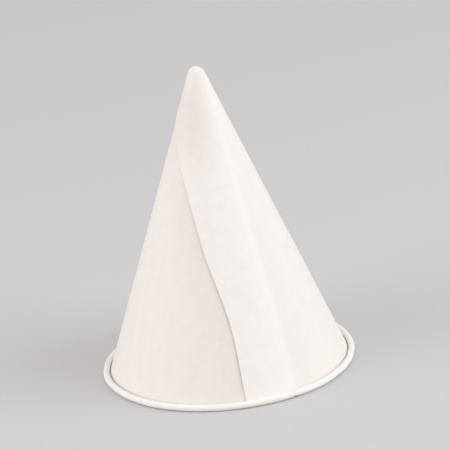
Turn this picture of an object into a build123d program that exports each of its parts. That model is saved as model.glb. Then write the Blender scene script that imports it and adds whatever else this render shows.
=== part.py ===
from build123d import *

import os
from math import acos, acosh, asin, asinh, atan2, cos, cosh, degrees, hypot, pi
from math import radians, sin, sinh, tan

# A rolled-rim paper cone cup for about 237 ml of water, in millimetres, +Z up.
# The cup stands on its rim with the tip up. The origin is the centre of the mouth, on the
# plane that the rim rests on. The lap is on the -Y side.
#
# The real cup is wound from one flat piece of paper. One straight edge of that piece lies
# along the cone and is covered by the lap. The other straight edge is parallel to it in the
# flat, so on the cone it slants up from the rim and winds once round the tip. The rim is the
# paper's round edge, rolled outwards. Glue makes the layers one body, so the cup is one solid.
# A depth is measured square to the paper, from the first layer's outside face inwards.

# Driving dimensions
rim_diameter = 93.0  # over the rolled rim
cup_height = 115.0  # from the resting plane to the top of the tip, lap included
paper = 0.3  # thickness of one layer
roll_radius = 1.2  # outside radius of the rim's roll, half of its height
roll_clearance = 0.2  # between the inner turn of the roll and the lap on the wall
tuck_angle = 86.0  # how far the roll turns past its top before the paper ends, in degrees
tuck_setback = 4.0  # the second layer ends this much sooner in the roll, in degrees
tip_radius = 3.0  # outside of the first layer at the blunt tip
lap_width = 16.5  # from the covered edge to the visible edge, square to both
visible_bearing = -84.0  # where the visible edge meets the rim, in degrees from +X about +Z
climb_turn = 3.0  # the second layer comes down beside the covered edge in this turn, degrees

# Working allowances
bite = paper / 2  # how deep the second layer starts inside the first, so that they join
overrun = paper / 3  # how far the slopes beside the covered edge run past the faces they meet
cut_points = 28  # points along the visible edge, without the last
foot_steps = 3  # straight runs from the wall to the flat under the roll
roll_steps = 12  # straight runs from there round the roll

# Values worked out from the driving dimensions
turn_radius = roll_radius - paper  # inside of the roll
roll_flat = 2 * paper + roll_clearance  # flat run under the roll, on which the cup rests
roll_right = rim_diameter / 2 - roll_radius  # centres of the roll's two round sides
roll_left = roll_right - roll_flat
tip_centre = cup_height - paper - tip_radius
centres_rise = tip_centre - roll_radius
half_angle = degrees(
    acos((tip_radius + turn_radius) / hypot(roll_left, centres_rise))
    - atan2(centres_rise, roll_left)
)
slope_sin = sin(radians(half_angle))
slope_cos = cos(radians(half_angle))
apex_height = tip_centre + tip_radius / slope_sin  # where the first layer's wall would end
foot_slant = apex_height / slope_cos  # from there along the wall to the resting plane
full_turn = 2 * pi * slope_sin  # one turn of the cone, measured in the flat, in radians
foot_turn = degrees(asin(lap_width / foot_slant)) / slope_sin  # lap at the resting plane
covered_bearing = visible_bearing + foot_turn
climb_slant = lap_width / sin(full_turn * (1 - climb_turn / 360)) - paper  # just below the lap


def wall_point(slant, depth):
    """Point of a half section on the straight wall, a slant length down from the apex."""
    return (
        slant * slope_sin - depth * slope_cos,
        apex_height - slant * slope_cos - depth * slope_sin,
    )


def space_point(slant, turn, depth):
    """The same point in space, a turn in radians back from the covered edge."""
    radius, height = wall_point(slant, depth)
    bearing = radians(covered_bearing) - turn
    return (radius * cos(bearing), radius * sin(bearing), height)


def over_tip(depth):
    """Half section line from the top of the tip down to the start of the climb."""
    top = (0, tip_centre + tip_radius - depth)
    tip = JernArc(top, (1, 0), tip_radius - depth, half_angle - 90)
    return Curve() + [tip, Line(tip @ 1, wall_point(climb_slant, depth))]


def stepped(arc, steps):
    """Short straight runs in place of a small arc, which keep the rim's mesh small."""
    return Polyline([arc @ (index / steps) for index in range(steps + 1)]).edges()


def round_roll(depth, tuck):
    """Half section line from the start of the climb down the wall and round the roll."""
    radius = turn_radius + depth
    foot = (roll_left - radius * slope_cos, roll_radius - radius * slope_sin)
    wall = Line(wall_point(climb_slant, depth), foot)
    under = JernArc(foot, wall % 1, radius, 90 - half_angle)
    flat = Line(under @ 1, (roll_right, roll_radius - radius))
    roll = JernArc(flat @ 1, (1, 0), radius, 180 + tuck)
    return Curve() + [wall, *stepped(under, foot_steps), flat, *stepped(roll, roll_steps)]


def between(outside, inside):
    """The section between two lines that run side by side."""
    ends = [Line(outside @ 0, inside @ 0), Line(outside @ 1, inside @ 1)]
    return make_face(outside.edges() + inside.edges() + ends)


def whole_section(outside, inside, tuck):
    """Section from the tip to the paper's end in the roll, between two depths."""
    lines = [over_tip(depth) + round_roll(depth, tuck).edges() for depth in (outside, inside)]
    return between(*lines)


def skirt_section(outside, inside, tuck):
    """The same section without the tip, from the start of the climb down."""
    return between(round_roll(outside, tuck), round_roll(inside, tuck))


def standing(section, bearing):
    """A half section, drawn with the radius along x, stood up along a bearing."""
    return Plane.XZ.rotated((0, 0, bearing)) * section


def first_layer():
    """The paper once round, with a blunt tip and the rim rolled outwards."""
    return revolve(standing(whole_section(0, paper, tuck_angle), 0), Axis.Z)


def visible_cut():
    """Surface that the visible edge is cut along, square to the wall.

    The cut is straight in the flat. Equal steps of its hyperbolic angle crowd the points
    together round the tip, where it winds fastest.
    """
    start = acosh((foot_slant + 2 * roll_radius) / lap_width)
    stride = (asinh(1 / tan(full_turn)) - start) / cut_points
    sides = []
    for depth in (2 * bite, -roll_flat - 2 * roll_radius):
        points = []
        for index in range(cut_points + 1):
            step = start + index * stride
            turn = atan2(1, sinh(step)) / slope_sin
            points.append(space_point(lap_width * cosh(step), turn, depth))
        sides.append(Edge.make_spline(points, parameters=range(cut_points + 1)))
    return Face.make_surface_from_curves(*sides)


def second_layer():
    """The lap, from beside the covered edge back to the visible edge, and over the tip."""
    tuck = tuck_angle - tuck_setback
    layer = revolve(standing(whole_section(-paper, bite, tuck), covered_bearing), Axis.Z)
    slot_section = skirt_section(-paper - roll_clearance / 2, bite + overrun, tuck_angle)
    layer -= revolve(standing(slot_section, covered_bearing), Axis.Z, climb_turn)
    pieces = layer.solid().split(visible_cut(), Keep.ALL)
    return max(pieces, key=lambda piece: piece.bounding_box().max.Z)


def beside_edge(near, far):
    """Body from a section at the covered edge to a section where the climb ends."""
    ends = [standing(near, covered_bearing), standing(far, covered_bearing + climb_turn)]
    return loft(ends, ruled=True)


def climb():
    """The second layer coming down beside the covered edge."""
    tuck = tuck_angle - tuck_setback
    near = skirt_section(-paper, bite, tuck)
    return beside_edge(near, skirt_section(overrun, bite, tuck))


def covered_step():
    """The groove along the covered edge, where the second layer takes over from the first."""
    tuck = tuck_angle - 2 * tuck_setback
    near = skirt_section(0, paper + overrun, tuck)
    return beside_edge(near, skirt_section(paper + overrun, paper + 2 * overrun, tuck))


cup = first_layer() + second_layer() + climb() - covered_step()

os.makedirs("parts", exist_ok=True)
export_step(cup, "parts/cone_cup.step")
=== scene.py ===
from math import acos, asin, atan2, cos, hypot, pi, radians, sin, tan

import bmesh
import bpy
from mathutils import Matrix, Vector


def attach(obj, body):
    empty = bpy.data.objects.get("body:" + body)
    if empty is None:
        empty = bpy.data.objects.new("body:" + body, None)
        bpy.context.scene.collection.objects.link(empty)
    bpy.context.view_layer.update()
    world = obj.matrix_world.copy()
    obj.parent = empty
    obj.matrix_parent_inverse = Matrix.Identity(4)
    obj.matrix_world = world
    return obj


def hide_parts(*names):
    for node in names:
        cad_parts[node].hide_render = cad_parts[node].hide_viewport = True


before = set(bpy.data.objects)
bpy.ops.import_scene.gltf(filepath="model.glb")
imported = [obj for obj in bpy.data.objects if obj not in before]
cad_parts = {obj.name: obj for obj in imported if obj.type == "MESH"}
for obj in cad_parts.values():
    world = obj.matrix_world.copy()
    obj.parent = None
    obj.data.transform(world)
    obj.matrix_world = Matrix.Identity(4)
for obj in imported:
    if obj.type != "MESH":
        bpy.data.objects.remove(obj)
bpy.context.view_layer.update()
scene = bpy.context.scene
scene.view_settings.view_transform = "Standard"
print("frame loaded")

mm = 0.001

# The cup is modelled as it is made: a flat blank is cut, wound into a cone and rolled at
# the rim. Lengths are in millimetres until the blank is wound, angles are in degrees.
cup = {
    "rimDiameter": 93.0,
    "height": 115.0,
    "paper": 0.3,
    "rollRadius": 1.2,
    "rollFlat": 0.5,  # between the fold at the foot of the wall and the roll
    "tuckAngle": 86.0,
    "tipRadius": 3.0,
    "lapWidth": 16.5,
    "visibleBearing": -84.0,  # where the lap's free edge meets the rim
    "climb": 3.4,  # run in which the second layer rises over the covered edge
    "climbMost": 0.9,  # and the most of it near the tip, as an angle in radians
    "edgeBow": 2.0,  # the free edge bows back by this much
    "edgeBowRun": (66.0, 130.0),  # between these places along it
    "edgeLift": 0.2,  # and stands this much proud of the wall
    "edgeLiftRun": 14.0,  # rising over this width of the lap
    "edgeLiftRise": (18.0, 48.0),  # more and more between these slant lengths
    "edgeLiftFall": 9.0,  # and no more at the foot of the wall, over this length
    "edgeShadow": (-0.3, 1.2, 16.0),  # painted shade beside the edge: its start, its dark core, its full reach
    "layerRise": 0.309,  # the second layer lies this far over the first
    "wavesFrom": 40.0,  # the slant length at which the wall's waves are full
    "rollWavesRun": 1.5,  # run past the foot of the wall in which the roll's own waves grow
    "leastRadius": 1.0,  # stands for the cone's radius at the very tip
    "turnStep": 1.5,  # the sheet is divided at each such step round the cone
    "tipRows": 12,
    "wallRows": 60,
    "rollRows": 30,
    "crispAngle": 50.0,  # folds sharper than this aren't shaded smooth
}
mergeDistance = 1e-4

# How far the wound paper strays from a true cone: waves in one turn, millimetres, start angle.
# The first row is at the rim and fades towards the tip, the second is in the roll alone.
wallWaves = [(2, 0.25, 0.6), (3, 0.14, 2.1), (5, 0.08, 4.0), (9, 0.035, 1.3), (14, 0.02, 5.1)]
rollWaves = [(17, 0.025, 0.3), (31, 0.03, 2.2), (47, 0.02, 4.4), (71, 0.012, 1.9)]
mapSize = 300.0  # millimetres across each of the paper's maps

paperLook = {
    "single": (0.841, 0.803, 0.770, 1),  # one layer, darker and warmer as some light goes through
    "double": (0.882, 0.853, 0.831, 1),  # the lap and the roll
    "shaded": (0.790, 0.730, 0.689, 1),  # painted shade, beside the free edge that lies over it, and near the tip
    "tipShare": 0.2,  # how much of the double colour is left at the tip
    "tipRun": (12.0, 55.0),  # slant lengths between which it comes back
    "tipShade": 0.8,  # how much painted shade the second layer gets near the tip
    "tipShadeRun": (6.0, 20.0, 24.0, 50.0),  # slant lengths where that starts, is full, and ends
    "tipShadeTurn": 57.0,  # round the cone from the covered edge to where it is full, in degrees
    "fibreLength": 2.4,  # millimetres, as are the cloud's size and the reliefs
    "cloudSize": 4.5,
    "mottle": 0.022,  # share by which the tone varies
    "streaks": 0.008,
    "streakScale": (89, 6, 1),  # on the wound map: across the streaks, along them
    "wrinkleScale": (447, 90, 1),
    "roughness": (0.46, 0.66),
    "specular": 0.35,
    "sheen": 0.1,
    "sheenRoughness": 0.5,
    "relief": 0.12,
    "rollWrinkles": 0.11,
}

turnRadius = cup["rollRadius"] - cup["paper"]
rollRight = cup["rimDiameter"] / 2 - cup["rollRadius"]
rollLeft = rollRight - cup["rollFlat"]
tipCentre = cup["height"] - cup["paper"] - cup["tipRadius"]
centresRise = tipCentre - cup["rollRadius"]
centresApart = hypot(rollLeft, centresRise)
halfAngle = acos((cup["tipRadius"] + turnRadius) / centresApart) - atan2(centresRise, rollLeft)
apexHeight = tipCentre + cup["tipRadius"] / sin(halfAngle)
restSlant = apexHeight / cos(halfAngle)
tipSlant = cup["tipRadius"] / tan(halfAngle)
footSlant = (apexHeight - cup["rollRadius"] + turnRadius * sin(halfAngle)) / cos(halfAngle)
flatTurn = 2 * pi * sin(halfAngle)  # one turn of the cone, measured in the flat blank
coveredBearing = radians(cup["visibleBearing"]) + asin(cup["lapWidth"] / restSlant) / sin(halfAngle)
middleRadius = turnRadius + cup["paper"] / 2
underRun = middleRadius * (pi / 2 - halfAngle)
rollRun = middleRadius * (pi + radians(cup["tuckAngle"]))
paperEnd = footSlant + underRun + cup["rollFlat"] + rollRun


def smoothStep(value):
    value = min(max(value, 0.0), 1.0)
    return value * value * (3 - 2 * value)


def flatAngle(point):
    # the angle of a point of the flat blank from the covered edge, up to half a turn
    angle = atan2(point.y, point.x)
    return angle % (2 * pi) if point.x < 0 else angle


def sectionPoint(slant, depth):
    # radius and height of the paper at a slant length from the apex, a depth below its outside
    if slant < tipSlant:
        lean = (pi / 2 - halfAngle) * slant / tipSlant
        reach = cup["tipRadius"] - depth
        return reach * sin(lean), tipCentre + reach * cos(lean)
    if slant < footSlant:
        across, down = cos(halfAngle), sin(halfAngle)
        return slant * down - depth * across, apexHeight - slant * across - depth * down
    run = slant - footSlant
    reach = turnRadius + depth
    if run < underRun:
        angle = pi + halfAngle + (pi / 2 - halfAngle) * run / underRun
        return rollLeft + reach * cos(angle), cup["rollRadius"] + reach * sin(angle)
    run -= underRun
    if run < cup["rollFlat"]:
        return rollLeft + run, cup["rollRadius"] - reach
    angle = 1.5 * pi + (run - cup["rollFlat"]) / middleRadius
    return rollRight + reach * cos(angle), cup["rollRadius"] + reach * sin(angle)


def cutBlank():
    # The covered edge is a row of points through the apex. It sweeps half a turn, to its own far
    # side, and the free edge is then cut straight, a lap's width past one turn of the cone.
    bm = bmesh.new()
    rows = (cup["tipRows"], cup["wallRows"], cup["rollRows"])
    stops = (0.0, tipSlant, footSlant, paperEnd)
    for start, end, count in zip(stops, stops[1:], rows):
        edge = bm.edges.new((bm.verts.new((start, 0, 0)), bm.verts.new((end, 0, 0))))
        bmesh.ops.subdivide_edges(bm, edges=[edge], cuts=count - 1)
    steps = round(pi / (radians(cup["turnStep"]) * sin(halfAngle)))
    bmesh.ops.spin(bm, geom=bm.verts[:] + bm.edges[:], cent=(0, 0, 0), axis=(0, 0, 1),
                   angle=pi, steps=steps, use_merge=False, use_duplicate=False)
    bmesh.ops.remove_doubles(bm, verts=bm.verts[:], dist=mergeDistance)
    across = Vector((-sin(flatTurn), cos(flatTurn), 0))
    bmesh.ops.bisect_plane(bm, geom=bm.verts[:] + bm.edges[:] + bm.faces[:], dist=mergeDistance,
                           plane_co=across * cup["lapWidth"], plane_no=across, clear_outer=True)
    return bm


def freeEdgeBow(along):
    # how far the cut edge bows back into the lap, at a place along it
    start, end = cup["edgeBowRun"]
    return cup["edgeBow"] * sin(pi * (along - start) / (end - start)) ** 2 if start < along < end else 0.0


def wavesAt(bearing, waves):
    return sum(size * cos(count * bearing + start) for count, size, start in waves)


def coneRadius(slant):
    # radius of the cone at a slant length, and at the tip still enough to divide by
    return max(slant * sin(halfAngle), cup["leastRadius"])


def layerLift(slant, turn, inward):
    # height of the paper above a single layer: one layer up on the second turn, more at the free edge
    climb = min(cup["climb"] / coneRadius(slant), cup["climbMost"])
    lift = cup["layerRise"] * (smoothStep(1 + (turn - 2 * pi) / climb) if slant > 0 else 1)
    if turn > 2 * pi and inward < cup["edgeLiftRun"]:
        start, full = cup["edgeLiftRise"]
        belowTip = smoothStep((slant - start) / (full - start))
        aboveFoot = smoothStep((footSlant - slant) / cup["edgeLiftFall"])
        lift += cup["edgeLift"] * belowTip * aboveFoot * (1 - inward / cup["edgeLiftRun"]) ** 2
    return lift


def layerDepth(slant, turn):
    # 0 where the paper is one layer thick, 1 on the lap and in the roll, and less at the tip
    lap = smoothStep(1 + (turn - 2 * pi) * coneRadius(slant) / (2 * cup["climb"]))
    roll = smoothStep((slant - footSlant) / cup["rollWavesRun"])
    start, full = paperLook["tipRun"]
    share = paperLook["tipShare"]
    return max(lap, roll) * (share + (1 - share) * smoothStep((slant - start) / (full - start)))


def edgeShadow(slant, angle):
    # on the first turn, how much painted shade lies on the paper beside the free edge that comes to lie
    # over it
    start, core, reach = cup["edgeShadow"]
    along, away = slant * cos(angle), slant * sin(angle) - cup["lapWidth"]
    beyond = cup["lapWidth"] / tan(pi - flatTurn) - along  # past the corner where the edge ends
    away = hypot(away, beyond) if beyond > 0 else away + freeEdgeBow(along)
    if angle > flatTurn or slant > footSlant or away < start:
        return 0.0
    return (smoothStep(1 - away / core) + smoothStep(1 - away / reach)) / 2


def tipShade(slant, turn):
    # how much painted shade darkens and warms the second layer near the tip, growing round from the
    # covered edge
    start, full, fading, end = paperLook["tipShadeRun"]
    belowTip = smoothStep((slant - start) / (full - start)) * smoothStep((end - slant) / (end - fading))
    pastEdge = smoothStep((turn - 2 * pi) / radians(paperLook["tipShadeTurn"]))
    return paperLook["tipShade"] * belowTip * pastEdge


def mapBlank(bm):
    # one map holds the blank as it lies flat, the other its place round the cone and down it
    flatMap = bm.loops.layers.uv.new("blank")
    woundMap = bm.loops.layers.uv.new("wound")
    for face in bm.faces:
        middle = face.calc_center_median()
        for loop in face.loops:
            point = loop.vert.co
            angle = flatAngle(point if point.length > mergeDistance else middle)
            loop[flatMap].uv = (0.5 + point.x / mapSize, 0.5 + point.y / mapSize)
            loop[woundMap].uv = (angle / flatTurn, point.length / mapSize)


def windBlank(bm):
    # each point of the flat blank goes to its place on the wound cone
    doubled = bm.verts.layers.float.new("doubled")
    paintedShade = bm.verts.layers.float.new("paintedShade")
    rolled = bm.verts.layers.float.new("rolled")
    for v in bm.verts:
        slant, angle = v.co.length, flatAngle(v.co)
        along = slant * cos(angle - flatTurn)
        inward = cup["lapWidth"] - slant * sin(angle - flatTurn)  # from the free edge into the lap
        turn = angle / sin(halfAngle)
        near = smoothStep(1 - inward / (2 * cup["lapWidth"]))  # the bow dies out over two lap widths
        bearing = coveredBearing - turn + freeEdgeBow(along) * near / coneRadius(slant)
        radius, height = sectionPoint(slant, -layerLift(slant, turn, inward))
        radius += wavesAt(bearing, wallWaves) * slant / footSlant * smoothStep(slant / cup["wavesFrom"])
        radius += wavesAt(bearing, rollWaves) * smoothStep((slant - footSlant) / cup["rollWavesRun"])
        v[doubled] = layerDepth(slant, turn)
        # painted shade: beside the free edge on the first turn, and on the second layer near the tip
        v[paintedShade] = edgeShadow(slant, angle) + tipShade(slant, turn)
        v[rolled] = smoothStep((slant - footSlant) / cup["rollWavesRun"])
        v.co = Vector((radius * cos(bearing), radius * sin(bearing), height)) * mm


def makeCup():
    bm = cutBlank()
    mapBlank(bm)
    windBlank(bm)
    bmesh.ops.recalc_face_normals(bm, faces=bm.faces[:])
    wallFace = max(bm.faces, key=lambda face: face.calc_center_median().z)
    if wallFace.normal.z < 0:
        bmesh.ops.reverse_faces(bm, faces=bm.faces[:])
    outside = set(bm.faces)
    inside = set(bmesh.ops.solidify(bm, geom=bm.faces[:], thickness=cup["paper"] * mm)["geom"])
    paintedShade = bm.verts.layers.float["paintedShade"]
    # the painted shade is kept off the inside of the sheet
    for v in bm.verts:
        if v in inside:
            v[paintedShade] = 0.0
    for face in bm.faces:
        face.smooth = True
        face.material_index = int(face not in outside and face not in inside)
    for edge in bm.edges:
        edge.smooth = edge.calc_face_angle(0) < radians(cup["crispAngle"])
    mesh = bpy.data.meshes.new("cupPaper")
    bm.to_mesh(mesh)
    bm.free()
    piece = bpy.data.objects.new("cupPaper", mesh)
    scene.collection.objects.link(piece)
    return piece


cupPaper = makeCup()
print("cup wound", len(cupPaper.data.polygons), "faces")


def addNode(tree, kind, place=(0, 0), **values):
    node = tree.nodes.new(kind)
    node.location = place
    for name, value in values.items():
        if name in node.bl_rna.properties:
            setattr(node, name, value)
        else:
            node.inputs[name].default_value = value
    return node


def addMath(tree, operation, place, first, second, third=None):
    # each of the last three is a socket to link or a plain number
    node = addNode(tree, "ShaderNodeMath", place, operation=operation)
    for socket, value in zip(node.inputs, (first, second, third)):
        if isinstance(value, bpy.types.NodeSocket):
            tree.links.new(value, socket)
        elif value is not None:
            socket.default_value = value
    return node.outputs["Value"]


def addRange(tree, place, value, given, wanted):
    # the given range of a value is stretched or squeezed to the wanted one
    node = addNode(tree, "ShaderNodeMapRange", place)
    for name, number in zip(("From Min", "From Max", "To Min", "To Max"), (*given, *wanted)):
        node.inputs[name].default_value = number
    tree.links.new(value, node.inputs["Value"])
    return node.outputs["Result"]


def addTone(tree, place, value, given, share):
    # a factor that varies about one, by a share on either side
    return addRange(tree, place, value, given, (1 - share, 1 + share))


def addMix(tree, place, factor, first, second):
    # the two colours are sockets to link or plain values
    node = addNode(tree, "ShaderNodeMix", place, data_type="RGBA")
    tree.links.new(factor, node.inputs["Factor"])
    colours = [socket for socket in node.inputs if socket.type == "RGBA"]
    for socket, value in zip(colours, (first, second)):
        if isinstance(value, bpy.types.NodeSocket):
            tree.links.new(value, socket)
        else:
            socket.default_value = value
    return next(socket for socket in node.outputs if socket.type == "RGBA")


def addMapped(tree, place, mapName, scale):
    # one of the paper's maps, scaled to the pattern's own units
    source = addNode(tree, "ShaderNodeUVMap", place, uv_map=mapName)
    mapping = addNode(tree, "ShaderNodeMapping", (place[0] + 180, place[1]))
    mapping.inputs["Scale"].default_value = scale
    tree.links.new(source.outputs["UV"], mapping.inputs["Vector"])
    return mapping.outputs["Vector"]


fibreLays = [(12, 0.22), (74, 0.17), (-48, 0.28)]  # direction in degrees, width in millimetres
fibreShare = {"tone": 0.45, "height": 0.5}  # the rest of the tone is cloud, of the height tooth
fibreTone = (0.36, 0.64)  # part of the group's tone that colour and roughness are spread over
noiseTone = (0.3, 0.7)  # and the part used of a plain noise texture's tone


def makeFibreGroup():
    # paper seen close: fibres lying three ways, a cloudy sheet behind them and a fine tooth
    group = bpy.data.node_groups.new("paperFibres", "ShaderNodeTree")
    socket = group.interface.new_socket
    socket("Place", in_out="INPUT", socket_type="NodeSocketVector")
    socket("Fibre Length", in_out="INPUT", socket_type="NodeSocketFloat").default_value = 1.0
    socket("Cloud Size", in_out="INPUT", socket_type="NodeSocketFloat").default_value = 1.0
    socket("Tone", in_out="OUTPUT", socket_type="NodeSocketFloat")
    socket("Height", in_out="OUTPUT", socket_type="NodeSocketFloat")
    link = group.links.new
    entry = addNode(group, "NodeGroupInput", (-1100, 0))
    leave = addNode(group, "NodeGroupOutput", (700, 0))
    total = 0.0
    for row, (degrees, width) in enumerate(fibreLays):
        y = -260 * row
        turn = addNode(group, "ShaderNodeVectorRotate", (-800, y), rotation_type="Z_AXIS")
        turn.inputs["Angle"].default_value = radians(degrees)
        size = addNode(group, "ShaderNodeCombineXYZ", (-800, y - 120), Y=width, Z=1.0)
        narrow = addNode(group, "ShaderNodeVectorMath", (-600, y), operation="DIVIDE")
        fibre = addNode(group, "ShaderNodeTexNoise", (-400, y), Scale=1.0, Detail=2.0, Distortion=0.7)
        link(entry.outputs["Place"], turn.inputs["Vector"])
        link(entry.outputs["Fibre Length"], size.inputs["X"])
        link(turn.outputs["Vector"], narrow.inputs[0])
        link(size.outputs["Vector"], narrow.inputs[1])
        link(narrow.outputs["Vector"], fibre.inputs["Vector"])
        total = addMath(group, "ADD", (-180, y), fibre.outputs["Fac"], total)
    fibres = addMath(group, "MULTIPLY", (20, -100), total, 1 / len(fibreLays))
    cloudScale = addMath(group, "DIVIDE", (-600, 300), 1.0, entry.outputs["Cloud Size"])
    cloud = addNode(group, "ShaderNodeTexNoise", (-400, 300), Detail=3.0, Roughness=0.55)
    tooth = addNode(group, "ShaderNodeTexNoise", (-400, 560), Scale=1.3, Detail=4.0, Roughness=0.68)
    link(entry.outputs["Place"], cloud.inputs["Vector"])
    link(cloudScale, cloud.inputs["Scale"])
    link(entry.outputs["Place"], tooth.inputs["Vector"])
    for name, other, y in (("tone", cloud, 200), ("height", tooth, -100)):
        share = fibreShare[name]
        ownPart = addMath(group, "MULTIPLY", (160, y - 140), fibres, share)
        mixed = addMath(group, "MULTIPLY_ADD", (300, y), other.outputs["Fac"], 1 - share, ownPart)
        link(mixed, leave.inputs[name.capitalize()])
    return group


fibreGroup = makeFibreGroup()


def addPaperFibres(tree, place, length, cloud):
    fibres = addNode(tree, "ShaderNodeGroup", place)
    fibres.node_tree = fibreGroup
    fibres.inputs["Fibre Length"].default_value = length
    fibres.inputs["Cloud Size"].default_value = cloud
    flat = addMapped(tree, (place[0] - 400, place[1]), "blank", (mapSize, mapSize, 1))
    tree.links.new(flat, fibres.inputs["Place"])
    return fibres


def makePaperFace():
    material = bpy.data.materials.new("paperFace")
    material.use_nodes = True
    tree = material.node_tree
    link = tree.links.new
    shader = tree.nodes["Principled BSDF"]
    shader.inputs["Specular IOR Level"].default_value = paperLook["specular"]
    shader.inputs["Sheen Weight"].default_value = paperLook["sheen"]
    shader.inputs["Sheen Roughness"].default_value = paperLook["sheenRoughness"]
    fibres = addPaperFibres(tree, (-900, 0), paperLook["fibreLength"], paperLook["cloudSize"])
    doubled = addNode(tree, "ShaderNodeAttribute", (-900, 300), attribute_name="doubled")
    beside = addNode(tree, "ShaderNodeAttribute", (-900, 480), attribute_name="paintedShade")
    rolled = addNode(tree, "ShaderNodeAttribute", (-900, -620), attribute_name="rolled")
    # faint lines run down the wall where the sheet was drawn round, and short wrinkles cross the roll
    streak = addNode(tree, "ShaderNodeTexNoise", (-700, -260), Scale=1.0, Detail=3.0)
    wrinkle = addNode(tree, "ShaderNodeTexNoise", (-700, -460), Scale=1.0, Detail=2.0)
    streakPlace = addMapped(tree, (-1100, -260), "wound", paperLook["streakScale"])
    wrinklePlace = addMapped(tree, (-1100, -460), "wound", paperLook["wrinkleScale"])
    link(streakPlace, streak.inputs["Vector"])
    link(wrinklePlace, wrinkle.inputs["Vector"])
    layers = addMix(tree, (-500, 300), doubled.outputs["Fac"], paperLook["single"], paperLook["double"])
    # painted shade darkens and warms the paper beside the free edge and near the tip
    paper = addMix(tree, (-300, 400), beside.outputs["Fac"], layers, paperLook["shaded"])
    cloudTone = addTone(tree, (-500, 0), fibres.outputs["Tone"], fibreTone, paperLook["mottle"])
    streakTone = addTone(tree, (-500, -260), streak.outputs["Fac"], noiseTone, paperLook["streaks"])
    colour = addNode(tree, "ShaderNodeVectorMath", (60, 200), operation="SCALE")
    link(paper, colour.inputs[0])
    link(addMath(tree, "MULTIPLY", (-300, 120), cloudTone, streakTone), colour.inputs["Scale"])
    link(colour.outputs["Vector"], shader.inputs["Base Color"])
    roughness = addRange(tree, (60, 0), fibres.outputs["Tone"], fibreTone, paperLook["roughness"])
    link(roughness, shader.inputs["Roughness"])
    wrinkled = addMath(tree, "MULTIPLY", (-500, -560), rolled.outputs["Fac"], paperLook["rollWrinkles"])
    wrinkles = addMath(tree, "MULTIPLY", (-300, -460), wrinkle.outputs["Fac"], wrinkled)
    tooth = addMath(tree, "MULTIPLY", (-300, -300), fibres.outputs["Height"], paperLook["relief"])
    relief = addMath(tree, "ADD", (-120, -300), tooth, wrinkles)
    bump = addNode(tree, "ShaderNodeBump", (60, -260), Strength=1.0, Distance=mm)
    link(relief, bump.inputs["Height"])
    link(bump.outputs["Normal"], shader.inputs["Normal"])
    return material


cutLook = {
    "colour": (0.80, 0.765, 0.73),
    "mottle": 0.06,
    "roughness": 0.85,
    "specular": 0.2,
    "relief": 0.12,
    "fibreLength": 0.5,
    "cloudSize": 1.2,
}


def makePaperCut():
    # the sheet's cut edges are rougher and a little darker than its faces
    material = bpy.data.materials.new("paperCut")
    material.use_nodes = True
    tree = material.node_tree
    shader = tree.nodes["Principled BSDF"]
    shader.inputs["Roughness"].default_value = cutLook["roughness"]
    shader.inputs["Specular IOR Level"].default_value = cutLook["specular"]
    fibres = addPaperFibres(tree, (-700, 0), cutLook["fibreLength"], cutLook["cloudSize"])
    tone = addTone(tree, (-400, 0), fibres.outputs["Tone"], fibreTone, cutLook["mottle"])
    colour = addNode(tree, "ShaderNodeVectorMath", (-200, 100), operation="SCALE")
    colour.inputs[0].default_value = cutLook["colour"]
    tree.links.new(tone, colour.inputs["Scale"])
    tree.links.new(colour.outputs["Vector"], shader.inputs["Base Color"])
    bump = addNode(tree, "ShaderNodeBump", (-200, -200), Strength=1.0, Distance=cutLook["relief"] * mm)
    tree.links.new(fibres.outputs["Height"], bump.inputs["Height"])
    tree.links.new(bump.outputs["Normal"], shader.inputs["Normal"])
    return material


cupPaper.data.materials.append(makePaperFace())
cupPaper.data.materials.append(makePaperCut())
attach(cupPaper, "root")
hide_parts("cone_cup")
print("paper finished")

table = {
    "size": 6.0,  # metres across
    "squares": 8,
    "colour": (0.575, 0.57, 0.59),
    "mottle": 0.015,
    "grain": 900.0,  # grains to the metre
    "roughness": 0.8,
}


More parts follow.
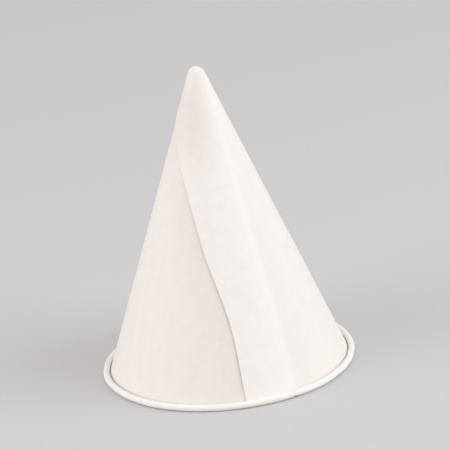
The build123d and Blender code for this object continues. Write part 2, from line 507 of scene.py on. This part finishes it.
def makeTable():
    bm = bmesh.new()
    squares = table["squares"]
    bmesh.ops.create_grid(bm, x_segments=squares, y_segments=squares, size=table["size"] / 2)
    mesh = bpy.data.meshes.new("table")
    bm.to_mesh(mesh)
    bm.free()
    piece = bpy.data.objects.new("table", mesh)
    scene.collection.objects.link(piece)
    material = bpy.data.materials.new("tableTop")
    material.use_nodes = True
    tree = material.node_tree
    shader = tree.nodes["Principled BSDF"]
    shader.inputs["Roughness"].default_value = table["roughness"]
    place = addNode(tree, "ShaderNodeTexCoord", (-900, 0))
    grain = addNode(tree, "ShaderNodeTexNoise", (-700, 0), Scale=table["grain"], Detail=3.0)
    tree.links.new(place.outputs["Object"], grain.inputs["Vector"])
    tone = addTone(tree, (-500, 0), grain.outputs["Fac"], noiseTone, table["mottle"])
    colour = addNode(tree, "ShaderNodeVectorMath", (-300, 0), operation="SCALE")
    colour.inputs[0].default_value = table["colour"]
    tree.links.new(tone, colour.inputs["Scale"])
    tree.links.new(colour.outputs["Vector"], shader.inputs["Base Color"])
    mesh.materials.append(material)
    return piece


makeTable()
print("table laid")

studio = {
    "world": ((1.0, 0.96, 0.925), 0.65),  # colour and strength
    "aim": (0.0, 0.0, 0.05),  # each softbox faces this point
    "softboxes": {  # place and width in metres, power in watts, colour
        "right": ((1.25, -0.42, 0.8), 1.3, 13.8, (0.945, 0.975, 1.0)),
        "left": ((-1.22, -0.42, 0.6), 1.2, 9.4, (1.0, 0.98, 0.96)),
        "above": ((0.1, 0.5, 1.7), 1.6, 3.0, (1.0, 0.99, 0.98)),
    },
}


def aim(thing, target, roll=0.0):
    away = thing.location - Vector(target)
    turn = away.to_track_quat("Z", "Y").to_matrix()
    thing.rotation_euler = (turn @ Matrix.Rotation(roll, 3, "Z")).to_euler()


def makeStudio():
    world = bpy.data.worlds.new("studio")
    world.use_nodes = True
    colour, strength = studio["world"]
    world.node_tree.nodes["Background"].inputs["Color"].default_value = (*colour, 1)
    world.node_tree.nodes["Background"].inputs["Strength"].default_value = strength
    scene.world = world
    for name, (place, size, energy, colour) in studio["softboxes"].items():
        lamp = bpy.data.lights.new(name + "Softbox", "AREA")
        lamp.shape = "SQUARE"
        lamp.size = size
        lamp.energy = energy
        lamp.color = colour
        holder = bpy.data.objects.new(name + "Softbox", lamp)
        scene.collection.objects.link(holder)
        holder.location = place
        aim(holder, studio["aim"])


makeStudio()

view = {
    "distance": 1.15,  # metres from the mouth's centre
    "elevation": 22.8,  # degrees of the camera above it
    "target": (0.004, 0.0, 0.0535),
    "roll": 6.45,  # degrees
    "lens": 248.0,  # millimetres
    "clipStart": 0.05,
}


def makeCamera():
    camera = bpy.data.objects.new("camera", bpy.data.cameras.new("camera"))
    scene.collection.objects.link(camera)
    tilt = radians(view["elevation"])
    camera.location = (0, -view["distance"] * cos(tilt), view["distance"] * sin(tilt))
    camera.data.lens = view["lens"]
    camera.data.clip_start = view["clipStart"]
    aim(camera, view["target"], -radians(view["roll"]))
    scene.camera = camera


makeCamera()
print("studio and camera set")
